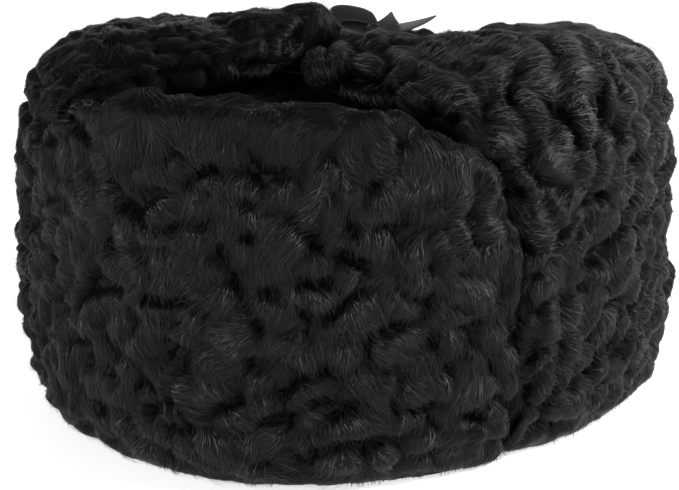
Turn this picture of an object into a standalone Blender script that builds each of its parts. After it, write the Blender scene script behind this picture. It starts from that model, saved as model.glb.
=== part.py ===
"""Karakul cap with ear flaps, tied up over the crown.

Frame: metres, +Z up, the face looks along -Y, the wearer's left is +X.
The origin is the centre of the cap's footprint, on the surface that it rests on.
"""

from math import atan2, cos, degrees, pi, radians, sin, sqrt

import bmesh
import bpy
from mathutils import Vector, noise
from mathutils.bvhtree import BVHTree

# Footprint of the whole cap, measured over the fur.
HALF_WIDTH = 0.106
HALF_LENGTH = 0.126
FOOTPRINT_POWER = 1.9

# A flap is pelt, padding and backing, worked as one pad. Its lower edge turns in under the rim.
PAD = 0.015
PAD_EDGE_ROUND = 0.0064
TURN_HEIGHT = 0.020
TURN_IN_OUTER = 0.0140
TURN_IN_INNER = 0.0040
PRESSED_DEPTH = 0.0012
SEAM_GAP = 0.0004

# Front flap, turned up against the forehead, and nape flap, turned up round the back: where each
# starts and ends round the footprint, its corners' width and height, and how far it bellies and leans.
FRONT = {"start": -47, "end": 47, "height": 0.114, "corner": (0.066, 0.042), "bulge": 0.003, "lean": 0}
NAPE = {"start": 131, "end": 229, "height": 0.098, "corner": (0.014, 0.012), "bulge": 0.001, "lean": 0.004}

# Ear flaps: each rises at the side, folds over the crown and ends near the middle.
EAR_FRONT_ANGLE = 47.4
EAR_REAR_ANGLE = 130.6
EAR_BLANK_WIDTH = 0.150
EAR_BLANK_LENGTH = 0.190
EAR_TIP_CORNER = (0.010, 0.010)
# Across the flap from front to rear edge: the height of the pad's middle where its bend ends, the
# bend's radius, and how far the pad climbs from there to its tip.
EAR_SECTIONS = {
    "left": (
        {"across": 0.00, "height": 0.1035, "bend": 0.034, "climb": 0.0065},
        {"across": 0.30, "height": 0.1135, "bend": 0.023, "climb": -0.0030},
        {"across": 0.60, "height": 0.1090, "bend": 0.022, "climb": -0.0060},
        {"across": 1.00, "height": 0.0985, "bend": 0.026, "climb": -0.0020},
    ),
    "right": (
        {"across": 0.00, "height": 0.1055, "bend": 0.032, "climb": 0.0075},
        {"across": 0.30, "height": 0.1115, "bend": 0.026, "climb": 0.0075},
        {"across": 0.60, "height": 0.1080, "bend": 0.024, "climb": -0.0030},
        {"across": 1.00, "height": 0.0985, "bend": 0.026, "climb": -0.0020},
    ),
}
# How far each ear's side wall bellies out, and how far up the blank it is back on the footprint.
EAR_BULGE = {"left": 0.0020, "right": 0.0034}
EAR_BULGE_SHARE = 0.55
# The ears end on either side of one slanting line, from its front to its rear.
MEETING_LINE = (Vector((-0.007, -0.041)), Vector((0.017, 0.030)))
MEETING_GAP = 0.0022

# Crown: a deep round cap that the flaps are sewn to, drawn in wherever they lie on it.
CROWN_HEIGHT = 0.101
CROWN_WALL = 0.005
CROWN_RIM = 0.007
CROWN_POWER = 4.0
CROWN_COVERED_HEIGHT = 0.070
CROWN_MIDDLE = Vector((0, 0, 0.040))
CROWN_TO_SEWN_FLAP = 0.0006
CROWN_TO_LOOSE_FLAP = 0.0016
CROWN_SMOOTHING = 9

# Curls of the pelt: rounded tufts with creases between them, cut in from the outer form.
CURL_SIZE = 0.0180
CURL_DEPTH = 0.0034
CROWN_CURL_DEPTH = 0.0010
CURL_WANDER = 0.35
CURL_SEED = 7
GROUND_FADE = 0.008
CURL_FLATTENING = 1.3
CREASE_SHARE = 0.55
# The curls' depth where a face looks sideways, and how fast it grows as the face turns outwards.
CURL_SIDE_SHARE = 0.4
CURL_TURN_GAIN = 1.5

# Ribbon that ties the ears together in a bow with one loop. Its ends are points measured from the
# knot's middle, with the width at each as a share of the ribbon's: cut on the slant, they end narrow.
RIBBON_WIDTH = 0.009
RIBBON_THICKNESS = 0.001
RIBBON_CLEARANCE = 0.0008
KNOT_PLACE = (0.0090, 0.0005)
KNOT_SIZE = (0.0070, 0.0075, 0.0038)
LOOP_REACH = 0.0165
LOOP_RISE = 0.0046
# The loop's ends on the knot, its height between its two sides, and how far it is open at the knot,
# all as shares of LOOP_RISE.
LOOP_START = 0.30
LOOP_END = 0.70
LOOP_BELLY = 0.54
LOOP_OPEN_AT_KNOT = 0.4
LOOP_STEPS = 14
# The way that the loop leaves the knot, and the way that its width runs, leaning back.
LOOP_OUT = Vector((-0.95, 0.31, 0))
LOOP_ACROSS = Vector((-0.50, 0.72, 0.46))
RIBBON_ENDS = {
    "short_end": {
        "across": Vector((1, 0.25, 0)),
        "points": ((0.0030, 0, 0.0006), (0.0036, 0, 0.0018), (0.0042, 0, 0.0033), (0.0046, 0, 0.0054)),
        "widths": (1.15, 0.95, 0.50, 0.10),
    },
    "long_end": {
        "across": Vector((-0.25, 1, 0.20)),
        "points": ((0, 0, 0), (0.0060, 0.0008, 0.0004), (0.0125, 0.0015, 0.0014), (0.0195, 0.002, 0.0038)),
        "widths": (0.90, 0.90, 0.75, 0.10),
    },
}

# Spacing of the blanks' grids, and the share of faces kept after thinning.
CELL = 0.0036
BORDER_CELL = 0.0074
FLAP_SHARE = 0.26
CROWN_SHARE = 0.40

FUR_BLACK = (0.012, 0.012, 0.013)
CROWN_BLACK = (0.010, 0.010, 0.011)
RIBBON_BLACK = (0.022, 0.022, 0.024)


def signed_power(value, power):
    return abs(value) ** power * (1 if value >= 0 else -1)


def footprint(angle, inset=0.0):
    """Point of the outline at an angle in degrees, 0 at the front and 90 at +X, moved in square to it."""
    t = radians(angle)
    root = 2 / FOOTPRINT_POWER
    point = Vector((HALF_WIDTH * signed_power(sin(t), root), -HALF_LENGTH * signed_power(cos(t), root)))
    slope = FOOTPRINT_POWER - 1
    outward = Vector((
        signed_power(point.x / HALF_WIDTH, slope) / HALF_WIDTH,
        signed_power(point.y / HALF_LENGTH, slope) / HALF_LENGTH,
    )).normalized()
    return point - outward * inset, outward


def blend(rows, across, key):
    """Smooth value between a table's rows, which run from 0 to 1 across the flap."""
    for low, high in zip(rows, rows[1:]):
        if across <= high["across"]:
            share = (across - low["across"]) / (high["across"] - low["across"])
            share = min(1.0, max(0.0, share))
            eased = share * share * (3 - 2 * share)
            return low[key] + (high[key] - low[key]) * eased
    return rows[-1][key]


def curl_depth(point):
    """0 on top of a tuft and 1 in the crease between two."""
    wander = noise.noise_vector(point / (2.2 * CURL_SIZE)) * CURL_WANDER
    squashed = Vector((point.x, point.y, point.z * CURL_FLATTENING))
    distances, _ = noise.voronoi(squashed / CURL_SIZE + wander)
    ridge = min(1.0, (distances[1] - distances[0]) / CREASE_SHARE)
    return (1 - ridge) ** 2


def new_object(name, mesh, material, collection):
    obj = bpy.data.objects.new(name, mesh)
    obj.data.materials.clear()
    obj.data.materials.append(material)
    collection.objects.link(obj)
    return obj


def principled(name, colour, roughness):
    material = bpy.data.materials.new(name)
    material.use_nodes = True
    shader = material.node_tree.nodes["Principled BSDF"]
    shader.inputs["Base Color"].default_value = (*colour, 1)
    shader.inputs["Roughness"].default_value = roughness
    shader.inputs["Metallic"].default_value = 0
    material.diffuse_color = (*colour, 1)
    return material


def spaced(length, cell=CELL, border=BORDER_CELL):
    """Grid lines across a blank, with a wider row at each border for its rounded edge."""
    count = max(2, round((length - 2 * border) / cell))
    inner = [border + (length - 2 * border) * i / count for i in range(count + 1)]
    return [0.0, *inner, length]


def quarter_round(share):
    """1 at the start of a rounded corner, falling to 0 where it meets the straight."""
    return 1 - sqrt(1 - (1 - min(1.0, max(0.0, share))) ** 2)


def evaluated_mesh(obj):
    """The object's mesh with its modifiers applied; the object itself is removed."""
    graph = bpy.context.evaluated_depsgraph_get()
    mesh = bpy.data.meshes.new_from_object(obj.evaluated_get(graph))
    bpy.data.objects.remove(obj)
    return mesh


def flat_blank(width, length, corner):
    """A pad cut flat: X across from its middle, Y up from the rim edge to a far edge with round corners."""
    columns = [x - width / 2 for x in spaced(width)]
    rows = spaced(length)
    bpy.ops.mesh.primitive_grid_add(x_subdivisions=len(columns) - 1, y_subdivisions=len(rows) - 1, size=2)
    blank = bpy.context.object
    for vertex in blank.data.vertices:
        x = columns[round((vertex.co.x + 1) / 2 * (len(columns) - 1))]
        y = rows[round((vertex.co.y + 1) / 2 * (len(rows) - 1))]
        end = length - corner[1] * quarter_round((width / 2 - abs(x)) / corner[0])
        inner = length - BORDER_CELL
        y = end if y == length else y * (end - BORDER_CELL) / inner
        vertex.co = (x, y, 0)
    solidify = blank.modifiers.new("thickness", "SOLIDIFY")
    solidify.thickness = PAD
    solidify.offset = 0
    bevel = blank.modifiers.new("rounded_edge", "BEVEL")
    bevel.width = PAD_EDGE_ROUND
    bevel.segments = 3
    bevel.limit_method = "ANGLE"
    bevel.angle_limit = radians(50)
    return evaluated_mesh(blank)


def wrap(mesh, surface):
    """Bends a flat blank onto surface(x, y), the pad's middle, with the blank's Z as depth from it."""
    step = 0.0005
    for vertex in mesh.vertices:
        x, y, depth = vertex.co
        along = surface(x + step, y) - surface(x - step, y)
        up = surface(x, y + step) - surface(x, y - step)
        outward = along.cross(up).normalized()
        turn = quarter_round(y / TURN_HEIGHT)
        from_outside = (PAD / 2 - depth) / PAD
        depth -= turn * (TURN_IN_OUTER * (1 - from_outside) + TURN_IN_INNER * from_outside)
        vertex.co = surface(x, y) + outward * depth
    mesh.update()


def cut_curls(mesh, depth_at):
    """Cuts the creases between the curls into the faces that depth_at names, in along their normals."""
    moves = []
    for vertex in mesh.vertices:
        depth = depth_at(vertex.co, vertex.normal)
        moves.append(vertex.normal * -depth * curl_depth(vertex.co) if depth else None)
    for vertex, move in zip(mesh.vertices, moves):
        if move:
            vertex.co += move
    mesh.update()


def thin_out(mesh, share):
    """Fewer faces where the surface is smooth, such as the inner sides."""
    obj = bpy.data.objects.new("thinning", mesh)
    bpy.context.scene.collection.objects.link(obj)
    decimate = obj.modifiers.new("thin_out", "DECIMATE")
    decimate.ratio = share
    return evaluated_mesh(obj)


def cut_at(mesh, height):
    """Removes what lies below a height and closes the cut with a flat face."""
    shape = bmesh.new()
    shape.from_mesh(mesh)
    everything = shape.verts[:] + shape.edges[:] + shape.faces[:]
    cut = bmesh.ops.bisect_plane(
        shape,
        geom=everything,
        dist=1e-6,
        plane_co=(0, 0, height),
        plane_no=(0, 0, -1),
        clear_outer=True,
    )
    rim = [edge for edge in cut["geom_cut"] if isinstance(edge, bmesh.types.BMEdge)]
    bmesh.ops.holes_fill(shape, edges=rim, sides=0)
    bmesh.ops.recalc_face_normals(shape, faces=shape.faces[:])
    shape.to_mesh(mesh)
    shape.free()
    mesh.update()


def away_from_crown(point, normal):
    """Flaps are curled wherever they don't face the crown, and smooth where they touch the ground."""
    flat = Vector((point.x / HALF_WIDTH, point.y / HALF_LENGTH, 0))
    facing_out = normal.z if point.z > 0.1 else normal.dot(flat.normalized())
    off_ground = min(1.0, max(0.0, point.z / GROUND_FADE))
    turned_out = min(1.0, max(0.0, CURL_SIDE_SHARE + CURL_TURN_GAIN * facing_out))
    return CURL_DEPTH * off_ground * turned_out


def curled_flap(name, mesh, surface, material, collection):
    """Bends, curls and thins a blank, and presses its lower edge flat on the ground plane."""
    wrap(mesh, surface)
    cut_curls(mesh, away_from_crown)
    mesh = thin_out(mesh, FLAP_SHARE)
    cut_at(mesh, 0.0)
    mesh.shade_smooth()
    return new_object(name, mesh, material, collection)


def rim_length(flap):
    """Length of a standing flap along the footprint, at the pad's middle."""
    steps = 90
    span = flap["end"] - flap["start"]
    points = [footprint(flap["start"] + span * i / steps, PAD / 2)[0] for i in range(steps + 1)]
    return sum((b - a).length for a, b in zip(points, points[1:]))


def standing_flap(name, flap, material, collection):
    """A flap that stands along the footprint."""
    width = rim_length(flap)
    middle = (flap["start"] + flap["end"]) / 2
    degrees_each = (flap["end"] - flap["start"]) / width

    def surface(x, y):
        share = y / flap["height"]
        belly = flap["bulge"] * sin(pi * min(1.0, max(0.0, share)))
        point, _ = footprint(middle + x * degrees_each, PAD / 2 - belly + flap["lean"] * share * share)
        return Vector((point.x, point.y, y - PRESSED_DEPTH))

    mesh = flat_blank(width, flap["height"] + PRESSED_DEPTH, flap["corner"])
    return curled_flap(name, mesh, surface, material, collection)


def ear_tips(side):
    """The front and rear ends of an ear's tip, set back a little from the line where the ears meet."""
    front, rear = MEETING_LINE
    run = (rear - front).normalized()
    back = Vector((run.y, -run.x)) * MEETING_GAP / 2
    return (front + back, rear + back) if side == "left" else (front - back, rear - back)


def ear_surface(side):
    """The middle of an ear flap: up the side wall, round a bend, and in over the crown to its tip."""
    tip_front, tip_rear = ear_tips(side)
    sections = EAR_SECTIONS[side]
    mirror = 1 if side == "left" else -1
    bulge = EAR_BULGE[side]

    def surface(x, y):
        place = x * mirror / EAR_BLANK_WIDTH + 0.5
        across = min(1.0, max(0.0, place))
        angle = EAR_FRONT_ANGLE + (EAR_REAR_ANGLE - EAR_FRONT_ANGLE) * place
        belly = bulge * sin(pi * min(1.0, max(0.0, y / EAR_BLANK_LENGTH / EAR_BULGE_SHARE))) ** 2
        base, _ = footprint(angle * mirror, PAD / 2 - belly)
        height = blend(sections, across, "height")
        bend = blend(sections, across, "bend")
        climb = blend(sections, across, "climb")
        run = tip_front.lerp(tip_rear, place) - base
        inward = run.normalized()
        rise = height - bend + PRESSED_DEPTH
        turn = bend * pi / 2
        level = run.length - bend
        way = y / EAR_BLANK_LENGTH * (rise + turn + level)
        if way < rise:
            return Vector((base.x, base.y, way - PRESSED_DEPTH))
        if way < rise + turn:
            bent = (way - rise) / bend
            point = base + inward * bend * (1 - cos(bent))
            return Vector((point.x, point.y, height - bend + bend * sin(bent)))
        share = (way - rise - turn) / level
        point = base + inward * (bend + level * share)
        return Vector((point.x, point.y, height + climb * share * share * (1.5 - 0.5 * share)))

    return surface


def ear_flap(side, material, collection):
    mesh = flat_blank(EAR_BLANK_WIDTH, EAR_BLANK_LENGTH, EAR_TIP_CORNER)
    return curled_flap("ear_flap_" + side, mesh, ear_surface(side), material, collection)


def half_dome():
    """The upper half of a ball, squared up and drawn out to the footprint."""
    shape = bmesh.new()
    bmesh.ops.create_uvsphere(shape, u_segments=56, v_segments=36, radius=1)
    bmesh.ops.delete(shape, geom=[vertex for vertex in shape.verts if vertex.co.z < -0.01], context="VERTS")
    for vertex in shape.verts:
        x, y, z = vertex.co
        z = max(0.0, z)
        out = sqrt(x * x + y * y)
        square = (out**CROWN_POWER + z**CROWN_POWER) ** (-1 / CROWN_POWER)
        edge, _ = footprint(degrees(atan2(x, -y)), PAD + SEAM_GAP)
        up = CROWN_RIM + (CROWN_HEIGHT - CROWN_RIM) * z * square
        vertex.co = (edge.x * out * square, edge.y * out * square, up)
    mesh = bpy.data.meshes.new("half_dome")
    shape.to_mesh(mesh)
    shape.free()
    return mesh


def draw_in(mesh, flaps):
    """Draws a dome in towards its middle until it clears the flaps that lie on it."""
    graph = bpy.context.evaluated_depsgraph_get()
    trees = [BVHTree.FromObject(flap, graph) for flap in flaps]
    shares = []
    for vertex in mesh.vertices:
        way = vertex.co - CROWN_MIDDLE
        hits = [tree.ray_cast(CROWN_MIDDLE, way.normalized())[3] for tree in trees]
        sewn = vertex.co.z < CROWN_COVERED_HEIGHT
        clearance = CROWN_TO_SEWN_FLAP if sewn else CROWN_TO_LOOSE_FLAP
        nearest = min((hit for hit in hits if hit), default=way.length + clearance)
        shares.append(min(1.0, (nearest - clearance) / way.length))
    near = [[] for _ in shares]
    for edge in mesh.edges:
        a, b = edge.vertices
        near[a].append(b)
        near[b].append(a)
    on_top = [vertex.co.z > CROWN_COVERED_HEIGHT for vertex in mesh.vertices]
    lowest = [min([shares[i], *(shares[j] for j in near[i])]) for i in range(len(shares))]
    shares = [low if top else own for low, own, top in zip(lowest, shares, on_top)]
    for _ in range(CROWN_SMOOTHING):
        averaged = [sum(shares[j] for j in near[i]) / len(near[i]) for i in range(len(shares))]
        shares = [min(own, average) for own, average in zip(shares, averaged)]
    for vertex, share in zip(mesh.vertices, shares):
        vertex.co = CROWN_MIDDLE + (vertex.co - CROWN_MIDDLE) * share
    mesh.update()


def crown(flaps, material, collection):
    """A dome walled inwards: the cap under the flaps, open below."""
    mesh = half_dome()
    draw_in(mesh, flaps)
    shell = bpy.data.objects.new("crown_shell", mesh)
    bpy.context.scene.collection.objects.link(shell)
    solidify = shell.modifiers.new("wall", "SOLIDIFY")
    solidify.thickness = CROWN_WALL
    solidify.offset = -1
    mesh = evaluated_mesh(shell)

    def outer_top(point, normal):
        bare = (point.z - CROWN_COVERED_HEIGHT) / (CROWN_HEIGHT - CROWN_COVERED_HEIGHT)
        return CROWN_CURL_DEPTH * min(1.0, max(0.0, 3 * bare)) if normal.z > 0 else 0.0

    cut_curls(mesh, outer_top)
    mesh = thin_out(mesh, CROWN_SHARE)
    for vertex in mesh.vertices:
        if vertex.co.z < CROWN_RIM + 0.0012:
            vertex.co.z = CROWN_RIM
    mesh.update()
    mesh.shade_smooth()
    return new_object("crown", mesh, material, collection)


def strip(points, widths, across):
    """A length of ribbon along points, its width laid along across."""
    shape = bmesh.new()
    rails = []
    for point, width in zip(points, widths):
        half = across.normalized() * RIBBON_WIDTH * width / 2
        rails.append((shape.verts.new(point - half), shape.verts.new(point + half)))
    for (a, b), (c, d) in zip(rails, rails[1:]):
        shape.faces.new((a, b, d, c))
    bmesh.ops.recalc_face_normals(shape, faces=shape.faces[:])
    mesh = bpy.data.meshes.new("strip")
    shape.to_mesh(mesh)
    shape.free()
    flat = bpy.data.objects.new("strip", mesh)
    bpy.context.scene.collection.objects.link(flat)
    solidify = flat.modifiers.new("thickness", "SOLIDIFY")
    solidify.thickness = RIBBON_THICKNESS
    solidify.offset = 0
    return evaluated_mesh(flat)


def loop_points():
    """A loop that leaves the knot low, turns back over itself and comes down on the knot."""
    points = []
    for i in range(LOOP_STEPS + 1):
        turn = 2 * pi * i / LOOP_STEPS
        out = 0.5 * (1 - cos(turn))
        middle = LOOP_START + (LOOP_END - LOOP_START) * i / LOOP_STEPS
        open_share = LOOP_OPEN_AT_KNOT + (1 - LOOP_OPEN_AT_KNOT) * out
        height = middle - LOOP_BELLY * sin(turn) * open_share
        points.append(LOOP_OUT * LOOP_REACH * out + Vector((0, 0, LOOP_RISE * height)))
    return points


def tie_ribbon(flaps, material, collection, cutters):
    """The knot over the line where the ears meet, one loop beside it, and two cut ends."""
    bpy.ops.mesh.primitive_uv_sphere_add(segments=16, ring_count=10, radius=0.5)
    knot = bpy.context.object
    for vertex in knot.data.vertices:
        vertex.co = Vector(s * c for s, c in zip(KNOT_SIZE, vertex.co))
    loop_widths = [0.70, 0.85, *[1.0] * (LOOP_STEPS - 3), 0.85, 0.70]
    pieces = {"loop": strip(loop_points(), loop_widths, LOOP_ACROSS)}
    for name, end in RIBBON_ENDS.items():
        pieces[name] = strip([Vector(point) for point in end["points"]], end["widths"], end["across"])
    ribbon = new_object("tie_ribbon", knot.data.copy(), material, collection)
    bpy.data.objects.remove(knot)
    for name, mesh in pieces.items():
        piece = new_object(name, mesh, material, cutters)
        piece.hide_render = True
        piece.display_type = "WIRE"
        join = ribbon.modifiers.new(name, "BOOLEAN")
        join.operation = "UNION"
        join.object = piece
    graph = bpy.context.evaluated_depsgraph_get()
    mesh = bpy.data.meshes.new_from_object(ribbon.evaluated_get(graph))
    ribbon.modifiers.clear()
    ribbon.data = mesh
    trees = [BVHTree.FromObject(flap, graph) for flap in flaps]
    x, y = KNOT_PLACE
    needed = 0.0
    for vertex in mesh.vertices:
        above = Vector((vertex.co.x + x, vertex.co.y + y, 1))
        for tree in trees:
            ground = tree.ray_cast(above, Vector((0, 0, -1)))[0]
            if ground:
                needed = max(needed, ground.z + RIBBON_CLEARANCE - vertex.co.z)
    for vertex in mesh.vertices:
        vertex.co += Vector((x, y, needed))
    mesh.update()
    return ribbon


def centre(objects):
    """Moves the whole cap so that the origin is in the middle of its outline."""
    points = [vertex.co for obj in objects for vertex in obj.data.vertices]
    x = (min(p.x for p in points) + max(p.x for p in points)) / 2
    y = (min(p.y for p in points) + max(p.y for p in points)) / 2
    for point in points:
        point -= Vector((x, y, 0))
    for obj in objects:
        obj.data.update()


def main():
    for obj in list(bpy.data.objects):
        bpy.data.objects.remove(obj)
    noise.seed_set(CURL_SEED)
    cap = bpy.data.collections.new("karakul_cap")
    helpers = bpy.data.collections.new("cutters")
    bpy.context.scene.collection.children.link(cap)
    bpy.context.scene.collection.children.link(helpers)

    fur = principled("karakul_fur", FUR_BLACK, 0.55)
    crown_fur = principled("crown_fur", CROWN_BLACK, 0.6)
    satin = principled("satin_ribbon", RIBBON_BLACK, 0.35)

    front = standing_flap("front_flap", FRONT, fur, cap)
    nape = standing_flap("nape_flap", NAPE, fur, cap)
    ears = [ear_flap(side, fur, cap) for side in ("left", "right")]
    dome = crown([front, nape, *ears], crown_fur, cap)
    ribbon = tie_ribbon(ears, satin, cap, helpers)
    centre([front, nape, *ears, dome, ribbon])


main()
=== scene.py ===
"""Looks of the karakul cap: curled pelts, the hair that arches over their curls, and the satin ribbon."""

from math import cos, pi, radians, sin, sqrt

import bmesh
import bpy
import numpy as np
from mathutils import Matrix, Vector
from mathutils.bvhtree import BVHTree


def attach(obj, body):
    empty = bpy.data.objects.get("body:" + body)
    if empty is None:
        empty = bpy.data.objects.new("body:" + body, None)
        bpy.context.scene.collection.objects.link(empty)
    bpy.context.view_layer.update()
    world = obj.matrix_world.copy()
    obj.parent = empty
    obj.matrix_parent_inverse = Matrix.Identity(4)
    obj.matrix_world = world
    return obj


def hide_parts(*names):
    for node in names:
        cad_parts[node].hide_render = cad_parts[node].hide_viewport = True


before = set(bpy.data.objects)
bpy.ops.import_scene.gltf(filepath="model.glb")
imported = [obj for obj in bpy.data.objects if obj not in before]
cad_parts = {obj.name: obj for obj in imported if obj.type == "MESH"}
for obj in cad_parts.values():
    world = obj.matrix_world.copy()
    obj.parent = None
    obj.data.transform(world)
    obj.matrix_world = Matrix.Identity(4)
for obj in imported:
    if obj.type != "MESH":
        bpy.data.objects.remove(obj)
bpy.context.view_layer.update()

# A millimetre in metres, and a length that stands in for none where something is divided by it.
MM = 0.001
LEAST_LENGTH = 1e-12

# Camera: where it looks, from which side and how high, how far off, and how many pixels one metre
# covers at one metre, in a picture this wide.
PICTURE_WIDTH = 679
PIXELS_PER_METRE = 1841
SENSOR = 36
CAMERA_AZIMUTH = 16.8
CAMERA_ELEVATION = 15.0
CAMERA_DISTANCE = 0.622
CLIP_START = 0.05
LOOK_ACROSS = -0.0031
LOOK_AT = Vector((0.0010, 0.0012, 0.041))

# Forms: the even grid that each pelt is worked on, and how it is rounded and filled out.
FORM_CELL = 2.5 * MM
FORM_SMOOTHING = 10
ROUNDING = 0.5
FORM_SWELL = -0.2 * MM
CORE_HEIGHT = 60 * MM
WELD = 0.01 * MM

# How far a face of a pelt looks away from the head where its fur begins, from -1 to 1, over which stretch
# the curls grow from there, and below what it is bare skin. The curls are low at the rim too.
FUR_SIDE = -0.30
FUR_FADE = (FUR_SIDE - 0.15, FUR_SIDE + 0.25)
SKIN_SIDE = FUR_SIDE - 0.1
# Faces whose pelt shade passes this share take the dark skin material too: painted shade.
SKIN_SHADE = 0.5
RIM_FADE = (0.5 * MM, 9 * MM)
RIM_SHARE = 0.25

# Curls of the pelt. A curl's hair comes out at its root, arches over its ridge and dives in at its tip.
# The falls are how fast a curl drops from its middle, as shares of its rise. Places on a curl are shares
# of its half length, from its root at -1 to its tip at 1, and of its half width.
CURL_TRIES = 12000
READ_AT_ONCE = 16000
NEIGHBOURS = 12
OFF_REACH = 9 * MM
WANDER = 1.5 * MM
WANDER_LENGTH = 17 * MM
CURL_BASE = -2.5 * MM
CURL_RISE = 3.9 * MM
CURL_RISES = (0.72, 1.12)
CURL_BEND = -0.22
BEND_SPREAD = 0.22
SIDE_FALL = 0.70
ROOT_FALL = 1.05
TIP_FALL = 0.38
TIP_DROP = 4.0
BLEND = 0.32 * MM
DEEPEST = -3.8 * MM
PIT_AT = -1.0
PIT_HALF = (1.30, 0.24)
PIT_DEPTH = (1.2 * MM, 3.6 * MM)
LIP_AT = -0.45
LIP_HALF = (1.0, 0.36)
FAN_FROM = 0.25
FAN_LIMITS = (-0.3, 1.4)
FAN_ACROSS = 1.2
TWIST = 0.16
TWIST_LENGTH = 9 * MM
SWELL = 0.5 * MM
SWELL_LENGTH = 30 * MM
RIPPLE = 0.12 * MM
RIPPLE_LENGTH = 5 * MM
RIPPLE_WAVES = 16
WAVES = 10
WAVE_SPREAD = (0.7, 1.6)
PATTERN_STEP = 37 * MM

# Combed hair: how far it strays from straight down, and how uneven it lies. Its waves have seeds of
# their own, this far after the pelt's.
STRAY_SEED = 100
COMB_SEED = 200
COMBED_PULL = 1.2
STRAY = 1.1
STRAY_LENGTH = 16 * MM
STRAY_RISE = 1.1 * MM
COMB_RISE = 0.35 * MM
COMB_LENGTH = 5 * MM
COMB_STRETCH = (1, 1, 0.2)

# Strands: their knots, the steps that they take back and on from their seeded places, and their form.
KNOTS = 4
SAME_PLACE = 1e-4
STEPS_BACK = 3
STEPS_ON = 4
LEAST_STEPS = 3
STRAND_WIDTH = 0.16 * MM
STRAND_WIDTHS = (0.7, 1.25)
STRAND_TAPER = (0.0, 1.0, 0.85, 0.0)
STRAND_LIFT = (-0.30, 0.25, 0.35, -0.20)
LEAST_LIFT = 0.25
MORE_LIFT = 1.5
LIFT_CONTRAST = 3
LOOSE_LIFT = (0.5, 2.6)
STRAND_ROLL = 0.20
STRAND_TURN = 0.20
FLOOR_CLEARANCE = 0.2 * MM
SHARPEST_TURN = 0.30
WAY_LOST = -0.2
SHORTEST_STEP = 0.35
STIFFNESS = 0.45

# Where strands grow: few in the creases and at the rim, more beside a seam, longer where they are combed.
BARE_DEPTH = (-2.6 * MM, -0.6 * MM)
BARE_RIM = (0, 3 * MM)
LEAST_WEIGHT = 1e-9
SEAM_MORE = 2.5
SEAM_LONGER = 0.5
COMBED_LONGER = 0.7

# How bright strands are, as shares of the way from the darkest to a glint, and the tones on that way.
# Each strand's own tone varies at random, and the few brightest strands are painted glints. Strands are
# also painted darker deep in the creases, as painted shade, and lighter near the lips of the pits, as
# painted highlights.
LEAST_TONE = 0.1
STRAND_CONTRAST = 3.0
# Share of a strand's tone away from the lips of the pits, and the painted highlight that a lip adds.
OFF_LIP_SHARE = 0.40
LIP_HIGHLIGHT = 1.6
# Share of its tone that a strand in painted shade keeps.
SHADED_SHARE = 0.3
# Depths over which strands are painted darker in the creases: painted shade.
CREASE_SHADE_DEPTH = (-2.4 * MM, 1.0 * MM)
# Height of a ridge over which its strands get a painted highlight, and its strength from strand to
# strand.
HIGHLIGHT_DEPTH = (-0.6 * MM, 2.2 * MM)
HIGHLIGHT_SHARES = (0.35, 1.0)
# Gloss of the hair, and of its less glossy copy for strands in painted shade.
HAIR_GLOSS = 0.13
SHADED_GLOSS = 0.03
HAIR_TONES = (
    {"at": 0.0, "colour": (0.0008, 0.0008, 0.0009, 1)},
    {"at": 0.65, "colour": (0.042, 0.042, 0.044, 1)},
    {"at": 1.0, "colour": (0.120, 0.120, 0.125, 1)},
)
# The pelt's tones, from painted shade deep in the creases to its own near-black.
PELT_TONES = (
    {"at": 0.0, "colour": (0.001, 0.001, 0.001, 1)},
    {"at": 1.0, "colour": (0.004, 0.004, 0.0042, 1)},
)

# A strand's place in its material's map: its tone across, kept off the edges, and its length up.
TONE_START = 0.03
TONE_LIMIT = 0.94
TONE_WIDTH = 0.02
LENGTH_START = 0.02
LENGTH_SHARE = 0.96

# Seams: how near to a neighbour the hair is drawn across, how far the search goes, and how much of the
# room beside it a pelt may fill, up to what is always kept free.
SEAM_PULL = (1.0 * MM, 5.5 * MM)
ROOM_LIMIT = 6 * MM
ROOM_SHARE = 0.45
ROOM_KEPT = 0.3 * MM

# Values that change from a flap's wall to its top are given at these shares of the way up.
TOP_SHARES = (0, 0.45, 1)

# Regions of the pelts. start, end and height are pairs of places in millimetres between which a region
# fades in or out; rearwards and frontwards are pairs of how far its surface looks that way, from -1 to 1.
COMBED_EDGE = {"start": (-42, -30), "end": (34, 48), "height": (96, 105), "share": 0.85}
COMBED_CORNER = {"start": (46, 58), "height": (78, 92), "share": 0.6}
# Where painted shade goes on the front flap.
FRONT_SHADE = {"rearwards": (-0.7, -0.1), "height": (92, 100)}
# Hair painted darker high on the front flap: painted shade.
FRONT_TOP_PAINTED_SHADE = {"height": (88, 104), "share": 0.45}
# Where painted shade goes on the wearer's right ear.
RIGHT_SHADE = {"start": (-80, -50), "end": (-28, -14), "height": (90, 102), "frontwards": (-0.1, 0.5)}
# Hair painted darker round the end of the wearer's right ear: painted shade.
RIGHT_END_PAINTED_SHADE = {"start": (-38, -20), "height": (98, 106), "share": 0.5}
# Hair painted lighter on the top of the wearer's left ear: painted light.
LEFT_TOP_PAINTED_LIGHT = {"height": (92, 106), "base": 0.85, "more": 1.35}
# Painted highlight on the ridges over the shoulder of the wearer's left ear.
LEFT_RIDGE_HIGHLIGHT = {"start": (48, 66), "height": (80, 98), "strength": 1.25}

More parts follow.
